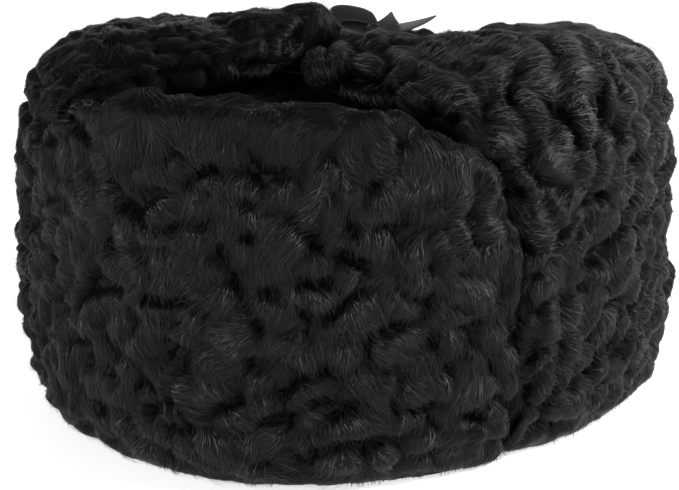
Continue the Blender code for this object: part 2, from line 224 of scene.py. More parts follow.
# Lumps and dips of single places, in millimetres: where each is, how far it reaches, how high it rises.
MOUNDS = {
    "front_flap": (
        {"place": (56, -103, 103), "reach": 14, "rise": 2.0},
        {"place": (68, -88, 88), "reach": 8, "rise": 1.5},
        {"place": (73, -84, 66), "reach": 8, "rise": 2.0},
    ),
    "nape_flap": (),
    "ear_flap_left": (
        {"place": (33, -8, 117), "reach": 17, "rise": -3.5},
        {"place": (24, -2, 116), "reach": 8, "rise": -2.0},
        {"place": (50, -70, 102), "reach": 13, "rise": 3.0},
        {"place": (64, 20, 114), "reach": 16, "rise": 3.5},
        {"place": (95, 13, 109), "reach": 12, "rise": 2.5},
        {"place": (12, -10, 101), "reach": 13, "rise": 2.6},
        {"place": (67, -68, 87), "reach": 8, "rise": 2.5},
        {"place": (77, -76, 66), "reach": 8, "rise": 3.5},
        {"place": (47, 12, 114), "reach": 10, "rise": 2.6},
        {"place": (81, -75, 6), "reach": 12, "rise": -1.5},
        {"place": (98, -26, 8), "reach": 15, "rise": 0.6},
        {"place": (103, 6, 8), "reach": 15, "rise": 2.0},
    ),
    "ear_flap_right": (
        {"place": (-8, -19, 121), "reach": 9, "rise": 2.5},
        {"place": (0, -15, 119), "reach": 7, "rise": 4.5},
        {"place": (-24, -14, 119), "reach": 10, "rise": 2.0},
        {"place": (-44, -7, 117), "reach": 12, "rise": 2.0},
        {"place": (-94, -35, 101), "reach": 10, "rise": 2.0},
        {"place": (-18, -10, 101), "reach": 13, "rise": 2.6},
        {"place": (-101, -46, 28), "reach": 24, "rise": -2.2},
    ),
    "crown": ({"place": (-15, -10, 97), "reach": 30, "rise": 2.6},),
}

# Ribbon, measured from the knot's middle as in the solid that it stands for. Each end is four points
# in millimetres that a smooth line runs through, its width there as a share of the ribbon's, the way
# that its width runs, and how much paler its thin tip is painted, as painted light shining through it.
# The loop's width is its share at the knot and what it gains from there.
KNOT_PLACE = Vector((9.93, 1.60, 114.42)) * MM
KNOT_SIZE = (7.0 * MM, 7.5 * MM, 3.8 * MM)
RIBBON_WIDTH = 9 * MM
RIBBON_THICKNESS = 0.45 * MM
RIBBON_CROWN = 0.25 * MM
RIBBON_STRIPS = 8
LOOP_STEPS = 40
END_STEPS = 16
RUN_STEP = 0.01
LOOP_REACH = 16.5 * MM
LOOP_RISE = 4.6 * MM
LOOP_MIDDLE = (0.30, 0.70)
LOOP_BELLY = 0.54
LOOP_OPEN_AT_KNOT = 0.4
LOOP_WIDTH = (0.70, 0.30)
LOOP_WIDENING = 7
LOOP_OUT = Vector((-0.95, 0.31, 0))
LOOP_ACROSS = Vector((-0.50, 0.72, 0.46))
SHORT_END = {
    "across": Vector((1, 0.45, 0)),
    "points": ((3.0, 0, 0.6), (3.6, 0.4, 1.9), (4.3, 0.9, 3.6), (4.9, 1.6, 5.8)),
    "widths": (1.15, 0.95, 0.50, 0.06),
    "light": 1.2,
}
LONG_END = {
    "across": Vector((-0.25, 1, 0.20)),
    "points": ((0, 0, 0), (6.0, 0.8, 0.4), (12.6, 1.5, 1.9), (19.8, 2.0, 5.0)),
    "widths": (0.90, 0.90, 0.75, 0.06),
    "light": 0.6,
}
KNOT_SEGMENTS = (40, 24)
KNOT_FOLDS = 3
KNOT_FOLD_DEPTH = 0.07
KNOT_FOLD_SLANT = 0.3

# Satin: the tones of its weave, in bands this close and slanted this far, its paler edges, and its tips
# painted paler as painted light shining through them, more where the weave is lighter.
SATIN_TONES = (
    {"at": 0.0, "colour": (0.011, 0.011, 0.0115, 1)},
    {"at": 1.0, "colour": (0.040, 0.040, 0.042, 1)},
)
SATIN_PALE = (0.100, 0.100, 0.104, 1)
SATIN_BANDS = 0.40
SATIN_SLANT = radians(32)
SATIN_EDGE = (0.80, 0.92)
SATIN_EDGE_SHARE = 0.5
SATIN_TIP_SHARES = (0.60, 1.20)

# Studio: a pale floor that curves up behind the cap, glows a little to stay white, and four soft lamps.
FLOOR_REACH = 3
WALL_HEIGHT = 3
WALL_ROUND = 1.2
WALL_SEGMENTS = 16
FLOOR_GLOW = 0.68
WORLD_LIGHT = 0.18
LAMPS_AIM = Vector((0, 0, 0.06))
LAMPS = (
    {"name": "key", "place": (1.1, 0.1, 0.8), "size": 0.7, "power": 17},
    {"name": "key_low", "place": (1.2, 0.1, 0.35), "size": 0.7, "power": 2},
    {"name": "left_fill", "place": (-0.9, -0.9, 0.5), "size": 0.7, "power": 7},
    {"name": "front_fill", "place": (0.2, -1.4, 0.4), "size": 0.7, "power": 4},
)


def unit(vectors):
    return vectors / np.maximum(np.linalg.norm(vectors, axis=-1, keepdims=True), LEAST_LENGTH)


def ramp(value, low, high):
    """0 below low, 1 above high, eased between."""
    share = np.clip((value - low) / (high - low), 0, 1)
    return share * share * (3 - 2 * share)


def fade(values, limits):
    """A ramp between two limits in millimetres."""
    return ramp(values, limits[0] * MM, limits[1] * MM)


def dot(a, b):
    return (a * b).sum(-1)


def along_surface(vectors, outward):
    """The part of each vector that lies in the surface, as a unit vector."""
    return unit(vectors - outward * dot(vectors, outward)[..., None])


class Waves:
    """A smooth, seeded wander made of plane waves of about one length."""

    def __init__(self, rng, length, count=WAVES):
        spread = rng.uniform(*WAVE_SPREAD, (count, 1))
        self.turns = unit(rng.normal(size=(count, 3))) * 2 * pi / (length * spread)
        self.starts = rng.uniform(0, 2 * pi, count)
        self.pushes = unit(rng.normal(size=(count, 3))) * sqrt(2 / count)

    def at(self, points):
        return np.sin(points @ self.turns.T + self.starts) @ self.pushes


def new_object(name, mesh):
    obj = bpy.data.objects.new(name, mesh)
    bpy.context.scene.collection.objects.link(obj)
    return obj


def finished_mesh(obj):
    """The object's mesh with its modifiers applied; the object itself is removed."""
    graph = bpy.context.evaluated_depsgraph_get()
    mesh = bpy.data.meshes.new_from_object(obj.evaluated_get(graph))
    bpy.data.objects.remove(obj)
    return mesh


def places_of(mesh):
    points = np.empty(len(mesh.vertices) * 3)
    mesh.vertices.foreach_get("co", points)
    normals = np.empty(len(mesh.vertices) * 3)
    mesh.vertices.foreach_get("normal", normals)
    return points.reshape(-1, 3), normals.reshape(-1, 3)


def move_to(mesh, points):
    mesh.vertices.foreach_set("co", points.astype(np.float32).ravel())
    mesh.update()


def fur_facing(points, normals):
    """1 where a surface faces away from the head, -1 where it faces the head."""
    core = points * (0, 0, 1)
    core[:, 2] = np.minimum(core[:, 2], CORE_HEIGHT)
    return dot(normals, unit(points - core))


def rounded_form(node, cell, smoothing, fine_above):
    """An even copy of a solid, with its own facets smoothed away and a finer grid on its fur side."""
    shape = bmesh.new()
    shape.from_mesh(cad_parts[node].data)
    bmesh.ops.remove_doubles(shape, verts=shape.verts[:], dist=WELD)
    mesh = bpy.data.meshes.new(node)
    shape.to_mesh(mesh)
    shape.free()
    obj = new_object(node + "_form", mesh)
    remesh = obj.modifiers.new("even_grid", "REMESH")
    remesh.mode = "VOXEL"
    remesh.voxel_size = cell
    smooth = obj.modifiers.new("rounded", "SMOOTH")
    smooth.factor = ROUNDING
    smooth.iterations = smoothing
    mesh = finished_mesh(obj)
    points, normals = places_of(mesh)
    points = points + normals * FORM_SWELL
    move_to(mesh, points)

    points, normals = places_of(mesh)
    fine = (fur_facing(points, normals) > FUR_SIDE) & (points[:, 2] > fine_above)
    shape = bmesh.new()
    shape.from_mesh(mesh)
    edges = [edge for edge in shape.edges if all(fine[vertex.index] for vertex in edge.verts)]
    bmesh.ops.subdivide_edges(shape, edges=edges, cuts=1, use_grid_fill=True)
    bmesh.ops.smooth_vert(
        shape, verts=shape.verts[:], factor=ROUNDING, use_axis_x=True, use_axis_y=True, use_axis_z=True,
    )
    shape.to_mesh(mesh)
    shape.free()
    return mesh


def face_arrays(mesh):
    mesh.calc_loop_triangles()
    corners = np.empty(len(mesh.loop_triangles) * 3, np.int32)
    mesh.loop_triangles.foreach_get("vertices", corners)
    return corners.reshape(-1, 3)


def scatter(points, corners, count, rng, weight):
    """Seeded places over faces, and the face of each. weight, one for each face, thins them."""
    spans = points[corners]
    area = np.linalg.norm(np.cross(spans[:, 1] - spans[:, 0], spans[:, 2] - spans[:, 0]), axis=1)
    share = area * weight
    chosen = rng.choice(len(corners), count, p=share / share.sum())
    mix = rng.dirichlet((1, 1, 1), count)
    return (spans[chosen] * mix[:, :, None]).sum(1), chosen


def climb_direction(outward, inward):
    """Up a flap from its rim: upwards on its wall, and inwards where it lies on the crown."""
    level = np.clip(outward[:, 2:], 0, 1)
    return along_surface(np.array((0, 0, 1.0)) * (1 - level) + np.array(inward) * level, outward)


class Curls:
    """The curls of one pelt: each has a place, the way its hair lies, a ridge across that, and a size."""

    def __init__(self, points, normals, corners, pelt, rng):
        fur = fur_facing(points, normals)[corners].mean(1) > FUR_SIDE
        tries, faces = scatter(points, corners, CURL_TRIES, rng, fur.astype(float))
        outward = unit(normals[corners[faces]].mean(1))
        self.flow = Waves(rng, pelt["flow_length"])
        up = climb_direction(outward, pelt["inward"])
        sideways = np.cross(up, outward)
        top = np.clip(outward[:, 2], 0, 1)
        lean = np.interp(top, TOP_SHARES, pelt["lean"]) + self.flow.at(tries)[:, 0] * pelt["flow"]
        lean = np.radians(lean + rng.normal(0, pelt["scatter"], len(tries)))[:, None]
        hairs = sideways * np.sin(lean) - up * np.cos(lean)
        ridges = np.cross(hairs, outward)
        size = rng.uniform(*pelt["sizes"], len(tries))
        wide, long = pelt["half_wide"] * size, pelt["half_long"] * rng.permutation(size)
        kept = [0]
        for i in range(1, len(tries)):
            away = tries[kept] - tries[i]
            off = (away @ ridges[i] / wide[i]) ** 2 + (away @ hairs[i] / long[i]) ** 2
            off += (away @ outward[i] / OFF_REACH) ** 2
            if (off > pelt["packing"] ** 2).all():
                kept.append(i)
        self.places, self.outward = tries[kept], outward[kept]
        self.hairs, self.ridges = hairs[kept], ridges[kept]
        self.half_wides, self.half_longs = wide[kept], long[kept]
        count = len(kept)
        self.bends = rng.normal(CURL_BEND, BEND_SPREAD, count)
        self.rises = rng.uniform(*CURL_RISES, count) * CURL_RISE
        self.pits = rng.uniform(*PIT_DEPTH, count) * (rng.uniform(0, 1, count) < pelt["pitted"])
        self.fans = rng.uniform(*pelt["fan"], count)
        self.wander = Waves(rng, WANDER_LENGTH)
        self.twist = Waves(rng, TWIST_LENGTH)
        self.swell = Waves(rng, SWELL_LENGTH)
        self.ripple = Waves(rng, RIPPLE_LENGTH, RIPPLE_WAVES)

    def read(self, points, outward):
        """For each point: its height, the way of its hair, its place on its curl, how near the lip."""
        cuts = [slice(i, i + READ_AT_ONCE) for i in range(0, len(points), READ_AT_ONCE)]
        parts = [self.read_few(points[cut], outward[cut]) for cut in cuts]
        return [np.concatenate(part) for part in zip(*parts)]

    def read_few(self, points, outward):
        moved = points + self.wander.at(points) * WANDER
        off = (self.places**2).sum(1) - 2 * moved @ self.places.T
        near = np.argpartition(off, NEIGHBOURS, axis=1)[:, :NEIGHBOURS]
        away = moved[:, None] - self.places[near]
        across = dot(away, self.ridges[near]) / self.half_wides[near]
        down = dot(away, self.hairs[near]) / self.half_longs[near] + self.bends[near] * across**2
        over = dot(away, self.outward[near]) / OFF_REACH
        fall = SIDE_FALL * across**2 + ROOT_FALL * np.clip(-down, 0, None) ** 2
        fall += TIP_FALL * np.clip(down, 0, None) ** 2
        fall += TIP_DROP * np.clip(down - 1, 0, None) + over**2
        rise = self.rises[near] * (1 - fall)
        top = rise.max(1, keepdims=True)
        share = np.exp((rise - top) / BLEND)
        total = share.sum(1, keepdims=True)
        height = CURL_BASE + (top + BLEND * np.log(total))[:, 0]
        pit = np.exp(-((across / PIT_HALF[0]) ** 2) - ((down - PIT_AT) / PIT_HALF[1]) ** 2 - over**2)
        height -= (pit * self.pits[near]).max(1)
        height = np.maximum(height, DEEPEST) + self.swell.at(points)[:, 0] * SWELL
        height += self.ripple.at(points)[:, 0] * RIPPLE
        share /= total
        fan = self.fans[near] * np.clip(FAN_FROM - down, *FAN_LIMITS)
        spread = fan * np.clip(across, -FAN_ACROSS, FAN_ACROSS)
        ways = self.hairs[near] + self.ridges[near] * spread[..., None]
        way = (unit(ways) * share[..., None]).sum(1) + self.twist.at(points) * TWIST
        own = share.argmax(1)[:, None]
        side = np.take_along_axis(across * self.half_wides[near], own, 1)
        ahead = np.take_along_axis(down * self.half_longs[near], own, 1)
        lie = np.concatenate([side, ahead, np.take_along_axis(near, own, 1) * PATTERN_STEP], 1)
        lip = np.exp(-(((down - LIP_AT) / LIP_HALF[1]) ** 2) - (across / LIP_HALF[0]) ** 2)
        lip = lip * (self.pits[near] > 0)
        return height, along_surface(way, outward), lie, (lip * share).sum(1)


def combed_edge(pelt, points, outward, height, way):
    """Mixes the combed lie of a pelt's edge into the height and the hair that its curls give."""
    if pelt["combed"] is None:
        return height, way, np.zeros(len(points))
    weight = pelt["combed"](points, outward)
    strays = Waves(np.random.default_rng(pelt["seed"] + STRAY_SEED), STRAY_LENGTH)
    ripple = Waves(np.random.default_rng(pelt["seed"] + COMB_SEED), COMB_LENGTH)
    down = -climb_direction(outward, pelt["inward"]) + strays.at(points) * STRAY
    low = ripple.at(points * COMB_STRETCH)[:, 0] * COMB_RISE + strays.at(points)[:, 1] * STRAY_RISE
    height = height * (1 - weight) + low * weight
    way = along_surface(way * (1 - weight)[:, None] + down * weight[:, None] * COMBED_PULL, outward)
    return height, way, weight


def room_beside(points, tree):
    """How far each point is from the neighbouring solids, up to a limit, and the way to them."""
    room = np.full(len(points), ROOM_LIMIT)
    toward = np.zeros_like(points)
    for i, point in enumerate(points.tolist()):
        found = tree.find_nearest(point, ROOM_LIMIT)
        if found[0] is not None:
            room[i] = found[3]
            toward[i] = found[0] - Vector(point)
    return room, unit(toward)


def tree_of(points, corners):
    return BVHTree.FromPolygons(points.tolist(), corners.tolist())


class Ground:
    """A pelt's raised surface, which strands follow: the way of the hair and other facts on each face."""

    def __init__(self, mesh, way, facts):
        points, normals = places_of(mesh)
        self.points = points
        self.corners = face_arrays(mesh)
        self.middles = points[self.corners].mean(1)
        self.outward = unit(normals[self.corners].mean(1))
        self.way = along_surface(way[self.corners].mean(1), self.outward)
        self.fur = fur_facing(self.middles, self.outward)
        self.facts = {name: values[self.corners].mean(1) for name, values in facts.items()}
        self.tree = tree_of(points, self.corners)

    def settle(self, points):
        """The nearest place on the pelt to each point, and its face."""
        places = np.empty_like(points)
        faces = np.empty(len(points), int)
        for i, point in enumerate(points.tolist()):
            found = self.tree.find_nearest(point)
            places[i] = found[0]
            faces[i] = found[2]
        return places, faces


def strand_strip():
    """One flat strand, pointed at both ends: across, which knot, and its triangles."""
    shape = bmesh.new()
    bmesh.ops.create_grid(shape, x_segments=1, y_segments=KNOTS - 1, size=0.5)
    for end in (-0.5, 0.5):
        pair = [vertex for vertex in shape.verts if abs(vertex.co.y - end) < SAME_PLACE]
        bmesh.ops.pointmerge(shape, verts=pair, merge_co=(0, end, 0))
    bmesh.ops.triangulate(shape, faces=shape.faces[:])
    shape.verts.index_update()
    across = np.array([vertex.co.x * 2 for vertex in shape.verts])
    knot = np.array([round((vertex.co.y + 0.5) * (KNOTS - 1)) for vertex in shape.verts])
    faces = np.array([[vertex.index for vertex in face.verts] for face in shape.faces])
    shape.free()
    return across, knot, faces


def trace(ground, pelt, rng):
    """Follows the hair's lie both ways from seeded places: each strand's steps, and how many count."""
    facts = ground.facts
    weight = (ground.fur > FUR_SIDE) * ramp(facts["height"], *BARE_DEPTH)
    # Fewer strands grow where a pelt is bare in its painted shade, so that the dark skin material shows.
    weight = weight * (1 - pelt["bare"] * pelt["shade"](ground.middles, ground.outward))
    weight = weight * ramp(ground.middles[:, 2], *BARE_RIM)
    weight = weight * (1 + SEAM_MORE * facts["seam"]) + LEAST_WEIGHT
    start, faces = scatter(ground.points, ground.corners, pelt["strands"], rng, weight)
    longer = 1 + facts["combed"][faces] * COMBED_LONGER + facts["seam"][faces] * SEAM_LONGER
    length = rng.uniform(*pelt["strand_length"], len(start)) * longer
    step = (length / (STEPS_BACK + STEPS_ON))[:, None]
    turn = rng.normal(0, STRAND_TURN, (len(start), 1))

    def going(faces):
        way, outward = ground.way[faces], ground.outward[faces]
        return unit(way + np.cross(outward, way) * turn)

    track = {0: (start, faces)}
    reach = {}
    for sense, steps in ((-1, STEPS_BACK), (1, STEPS_ON)):
        at, on = start, faces
        alive = np.ones(len(start), bool)
        count = np.zeros(len(start))
        for i in range(1, steps + 1):
            before, was = at, on
            ahead = at + going(on) * step * sense
            at, on = ground.settle(ahead)
            at = at + (ahead - at) * STIFFNESS
            moved = np.linalg.norm(at - before, axis=1)
            alive &= moved > step[:, 0] * SHORTEST_STEP
            alive &= dot(ground.outward[on], ground.outward[was]) > SHARPEST_TURN
            alive &= dot(ground.way[on], ground.way[was]) > WAY_LOST
            alive &= ground.fur[on] > FUR_SIDE
            count += alive
            track[sense * i] = (at, on)
        reach[sense] = count
    return track, reach


def grow_hair(name, ground, pelt, rng):
    """Thousands of strands that arch over the curls and end in the creases."""
    track, reach = trace(ground, pelt, rng)
    kept = reach[-1] + reach[1] >= LEAST_STEPS
    count = int(kept.sum())
    steps = sorted(track)
    share = np.arange(KNOTS) / (KNOTS - 1)
    low = STEPS_BACK - reach[-1][kept][:, None]
    high = STEPS_BACK + reach[1][kept][:, None]
    spot = low + (high - low) * np.arange(KNOTS) / (KNOTS - 1)
    below = np.minimum(np.floor(spot).astype(int), len(steps) - 2)
    mix = spot - below

    def at_steps(values):
        """What the faces hold, at each step of each strand."""
        return np.stack([values[track[i][1]] for i in steps])[:, kept]

    def at_knots(rows):
        """What each step holds, mixed for each strand's knots."""
        strand = np.arange(count)[:, None]
        part = mix.reshape(*mix.shape, *[1] * (rows.ndim - 2))
        return rows[below, strand] * (1 - part) + rows[below + 1, strand] * part

    lift = LEAST_LIFT + rng.uniform(0, 1, count) ** LIFT_CONTRAST * MORE_LIFT
    stands_off = rng.uniform(0, 1, count) < pelt["loose"]
    loose = np.where(stands_off, rng.uniform(*LOOSE_LIFT, count), 0.0)
    facing = at_steps(ground.outward)
    outward = unit(at_knots(facing))
    raised = (np.array(STRAND_LIFT) * lift[:, None] + loose[:, None] * share**2) * MM
    line = at_knots(np.stack([track[i][0] for i in steps])[:, kept]) + outward * raised[:, :, None]
    going = unit(np.gradient(line, axis=1))
    roll = rng.normal(0, STRAND_ROLL, (count, 1, 1))
    side = unit(np.cross(going, outward))
    side = side * np.cos(roll) + np.cross(going, side) * np.sin(roll)
    width = STRAND_WIDTH * rng.uniform(*STRAND_WIDTHS, count)

    across, knot, faces = strand_strip()
    half = width[:, None] * np.array(STRAND_TAPER)[knot] / 2 * across
    points = line[:, knot] + side[:, knot] * half[:, :, None]
    points[:, :, 2] = np.maximum(points[:, :, 2], FLOOR_CLEARANCE)
    triangles = (faces[None] + np.arange(count)[:, None, None] * len(knot)).reshape(-1, 3)
    hair = bpy.data.meshes.new(name)
    hair.from_pydata(points.reshape(-1, 3), [], triangles)
    hair.shade_smooth()

    seeded = (track[0][0][kept], facing[STEPS_BACK])
    # Strands in painted shade are darker and take the less glossy copy of the hair material.
    in_painted_shade = pelt["shade"](*seeded) > rng.uniform(0, 1, count)
    # Each strand's own tone at random, scaled by region as painted light and shade.
    tone = rng.uniform(LEAST_TONE, 1, count) ** STRAND_CONTRAST * pelt["sheen"](*seeded)
    tone[in_painted_shade] *= SHADED_SHARE
    depth, crest, lip = [at_knots(at_steps(ground.facts[fact])) for fact in ("height", "ridge", "lip")]
    # Painted shade deep in the creases and painted highlights near the lips of the pits.
    tone = tone[:, None] * (ramp(depth, *CREASE_SHADE_DEPTH) * (OFF_LIP_SHARE + LIP_HIGHLIGHT * lip))[:, knot]
    # A painted highlight on the strands over the ridges, where a pelt has one.
    glow = pelt["glow"](*seeded) * rng.uniform(*HIGHLIGHT_SHARES, count)
    tone = tone + glow[:, None] * ramp(crest, *HIGHLIGHT_DEPTH)[:, knot]
    along = np.broadcast_to(share[knot] * LENGTH_SHARE + LENGTH_START, (count, len(knot)))
    spots = np.stack([np.clip(tone, 0, TONE_LIMIT) + across[None] * TONE_WIDTH + TONE_START, along], 2)
    spots = spots.reshape(-1, 2)[triangles.ravel()]
    layer = hair.uv_layers.new(name="OFBake")
    layer.uv.foreach_set("vector", spots.astype(np.float32).ravel())
    hair.polygons.foreach_set("material_index", np.repeat(in_painted_shade, len(faces)).astype(np.int32))
    return new_object(name, hair)


def keep_fact(mesh, name, kind, values):
    """Stores a named number or vector on each vertex, for the material to read."""
    layer = mesh.attributes.new(name, "FLOAT_VECTOR" if kind == "vector" else "FLOAT", "POINT")
    layer.data.foreach_set(kind, values.astype(np.float32).ravel())


def raise_mounds(height, points, mounds):
    """Adds the lumps and dips of single places to a pelt's height."""
    for mound in mounds:
        off = ((points / MM - mound["place"]) / mound["reach"]) ** 2
        height = height + mound["rise"] * MM * np.exp(-off.sum(1))
    return height


def dress(node, pelt, looks):
    """The pelt that stands for a node, and the hair on it."""
    rng = np.random.default_rng(pelt["seed"])
    mesh = rounded_form(node, pelt["cell"], pelt["smoothing"], pelt["fine_above"])
    points, outward = places_of(mesh)
    curls = Curls(points, outward, face_arrays(mesh), pelt, rng)
    height, way, lie, lip = curls.read(points, outward)
    height *= np.interp(np.clip(outward[:, 2], 0, 1), TOP_SHARES, pelt["relief"])
    height, way, combed = combed_edge(pelt, points, outward, height, way)
    facing = fur_facing(points, outward)
    furry = ramp(facing, *FUR_FADE) * (RIM_SHARE + (1 - RIM_SHARE) * ramp(points[:, 2], *RIM_FADE))
    room, toward = room_beside(points, neighbours_of(node))
    seam = 1 - ramp(room, *SEAM_PULL)
    ridge = height * furry + seam * pelt["seam_fill"]
    height = raise_mounds(ridge, points, MOUNDS[node])
    height = np.minimum(height, room * ROOM_SHARE - ROOM_KEPT)
    way = along_surface(way + toward * (seam * pelt["seam_pull"])[:, None], outward)
    raised = points + outward * height[:, None]
    raised[:, 2] = np.maximum(raised[:, 2], 0)
    move_to(mesh, raised)
    mesh.shade_smooth()
    keep_fact(mesh, "height", "value", height / MM)
    keep_fact(mesh, "lie", "vector", lie / MM)
    # The skin side takes the dark skin material, and so does the fur side where painted shade is deep.
    skin = (facing < SKIN_SIDE) | (pelt["shade"](points, outward) > SKIN_SHADE)
    bare = np.array([skin[list(face.vertices)].all() for face in mesh.polygons])
    mesh.polygons.foreach_set("material_index", bare.astype(np.int32))
    facts = {"height": height, "ridge": ridge, "combed": combed, "seam": seam, "lip": lip}
    piece = new_object(pelt["pelt"], mesh)
    hair = grow_hair(pelt["hair"], Ground(mesh, way, facts), pelt, rng)
    for look in ("pelt", "skin"):
        mesh.materials.append(looks[look])
    for look in ("hair", "shaded_hair"):
        hair.data.materials.append(looks[look])
    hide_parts(node)
    for obj in (piece, hair):
        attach(obj, "root")


def neighbours_of(node):
    """The other solids as one tree of faces."""
    points, corners, start = [], [], 0
    for name, (places, faces) in solids.items():
        if name != node:
            points.append(places)
            corners.append(faces + start)
            start += len(places)
    return tree_of(np.concatenate(points), np.concatenate(corners))


def loop_point(share):
    """A loop that leaves the knot low, turns back over itself and comes down on the knot."""
    turn = 2 * pi * share
    out = 0.5 * (1 - cos(turn))
    middle = LOOP_MIDDLE[0] + (LOOP_MIDDLE[1] - LOOP_MIDDLE[0]) * share
    open_share = LOOP_OPEN_AT_KNOT + (1 - LOOP_OPEN_AT_KNOT) * out
    rise = LOOP_RISE * (middle - LOOP_BELLY * sin(turn) * open_share)
    return LOOP_OUT * LOOP_REACH * out + Vector((0, 0, rise))


def loop_width(share):
    """The loop is gathered where it meets the knot, and widens from there."""
    return LOOP_WIDTH[0] + LOOP_WIDTH[1] * min(1, min(share, 1 - share) * LOOP_WIDENING)


def smooth_through(rows):
    """A cubic through four values, or four points, as a function of the share of the way along."""
    shares = np.linspace(0, 1, 4)
    cubic = np.polyfit(shares, np.array(rows, float), 3)
    return lambda share: sum(cubic[i] * share ** (3 - i) for i in range(4))


def ribbon_band(shape, place, width, across, steps, light):
    """Adds a slightly crowned length of ribbon along place(share). light is how much paler its tip is
    painted, as painted light shining through it.
    """
    across = across.normalized()
    weave = shape.loops.layers.uv["weave"]
    edge = shape.verts.layers.float["edge"]
    thin = shape.verts.layers.float["thin"]
    band = bmesh.ops.create_grid(shape, x_segments=RIBBON_STRIPS, y_segments=steps, size=0.5)["verts"]
    length = sum((place((i + 1) / steps) - place(i / steps)).length for i in range(steps))
    for vertex in band:
        side, along = vertex.co.x, vertex.co.y + 0.5
        for loop in vertex.link_loops:
            loop[weave].uv = (side * RIBBON_WIDTH * width(along) / MM, along * length / MM)
        vertex[edge] = abs(side) * 2
        # How much paler the band is painted towards its tip: painted light shining through it.
        vertex[thin] = light * along
    for vertex in band:
        side, along = vertex.co.x * 2, vertex.co.y + 0.5
        run = place(min(along + RUN_STEP, 1)) - place(max(along - RUN_STEP, 0))
        crown = run.cross(across).normalized() * RIBBON_CROWN * (1 - side**2) * min(1, width(along))
        vertex.co = KNOT_PLACE + place(along) + across * side * RIBBON_WIDTH * width(along) / 2 + crown


def end_band(shape, end):
    """Adds one slant-cut end of the bow."""
    line = smooth_through([[value * MM for value in point] for point in end["points"]])
    width = smooth_through(end["widths"])

    def place(share):
        return Vector(line(share))

    ribbon_band(shape, place, lambda share: float(width(share)), end["across"], END_STEPS, end["light"])


def add_knot(shape):
    """The ribbon wound round itself: a flat lump with soft folds across it."""
    weave = shape.loops.layers.uv["weave"]
    lump = bmesh.ops.create_uvsphere(
        shape, u_segments=KNOT_SEGMENTS[0], v_segments=KNOT_SEGMENTS[1], radius=0.5, calc_uvs=True,
    )["verts"]
    for vertex in lump:
        for loop in vertex.link_loops:
            loop[weave].uv = (vertex.co.x * KNOT_SIZE[0] / MM, vertex.co.y * KNOT_SIZE[1] / MM)
        turn = 2 * pi * KNOT_FOLDS * (vertex.co.x + vertex.co.y * KNOT_FOLD_SLANT)
        fold = 1 + KNOT_FOLD_DEPTH * cos(turn)
        off = [size * value * fold for size, value in zip(KNOT_SIZE, vertex.co)]
        vertex.co = KNOT_PLACE + Vector(off)


def tied_ribbon(look):
    """The satin ribbon: its knot, the loop and the two slant-cut ends as one piece."""
    mesh = bpy.data.meshes.new("bands")
    shape = bmesh.new()
    shape.loops.layers.uv.new("weave")
    for fact in ("edge", "thin"):
        shape.verts.layers.float.new(fact)
    ribbon_band(shape, loop_point, loop_width, LOOP_ACROSS, LOOP_STEPS, 0)
    end_band(shape, SHORT_END)
    end_band(shape, LONG_END)
    shape.to_mesh(mesh)
    obj = new_object("bands", mesh)
    solid = obj.modifiers.new("thickness", "SOLIDIFY")
    solid.thickness = RIBBON_THICKNESS
    solid.offset = 0
    mesh = finished_mesh(obj)
    shape.clear()
    shape.from_mesh(mesh)
    add_knot(shape)
    shape.to_mesh(mesh)
    shape.free()
    mesh.shade_smooth()
    mesh.materials.append(look)
    piece = new_object("tied_ribbon", mesh)
    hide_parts("tie_ribbon")
    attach(piece, "root")


def material(name):
    made = bpy.data.materials.new(name)
    made.use_nodes = True
    return made, made.node_tree.nodes, made.node_tree.links, made.node_tree.nodes["Principled BSDF"]


def colour_ramp(nodes, tones):
    """A ramp through the given tones."""
    made = nodes.new("ShaderNodeValToRGB")
    stops = made.color_ramp.elements
    for i, tone in enumerate(tones):
        stop = stops[i] if i < len(stops) else stops.new(tone["at"])
        stop.position = tone["at"]
        stop.color = tone["colour"]
    return made


def stored(nodes, name):
    """A fact that the mesh holds."""
    made = nodes.new("ShaderNodeAttribute")
    made.attribute_name = name
    return made.outputs


def relief(nodes, links, shader, height, strength, depth):
    """Fine relief from a pattern's height."""
    bump = nodes.new("ShaderNodeBump")
    bump.inputs["Strength"].default_value = strength
    bump.inputs["Distance"].default_value = depth
    links.new(height, bump.inputs["Height"])
    links.new(bump.outputs["Normal"], shader.inputs["Normal"])


def hair_material(name, gloss):
    """Black hair, lighter on some strands; its tones hold painted glints, highlights and shade."""
    look, nodes, links, shader = material(name)
    shader.inputs["Roughness"].default_value = 0.36
    shader.inputs["Specular IOR Level"].default_value = gloss
    shader.inputs["Anisotropic"].default_value = 0.75
    spot = nodes.new("ShaderNodeUVMap")
    spot.uv_map = "OFBake"
    split = nodes.new("ShaderNodeSeparateXYZ")
    links.new(spot.outputs["UV"], split.inputs["Vector"])
    tone = colour_ramp(nodes, HAIR_TONES)
    links.new(split.outputs["X"], tone.inputs["Fac"])
    links.new(tone.outputs["Color"], shader.inputs["Base Color"])
    along = nodes.new("ShaderNodeTangent")
    along.direction_type = "UV_MAP"
    along.uv_map = "OFBake"
    links.new(along.outputs["Tangent"], shader.inputs["Tangent"])
    return look


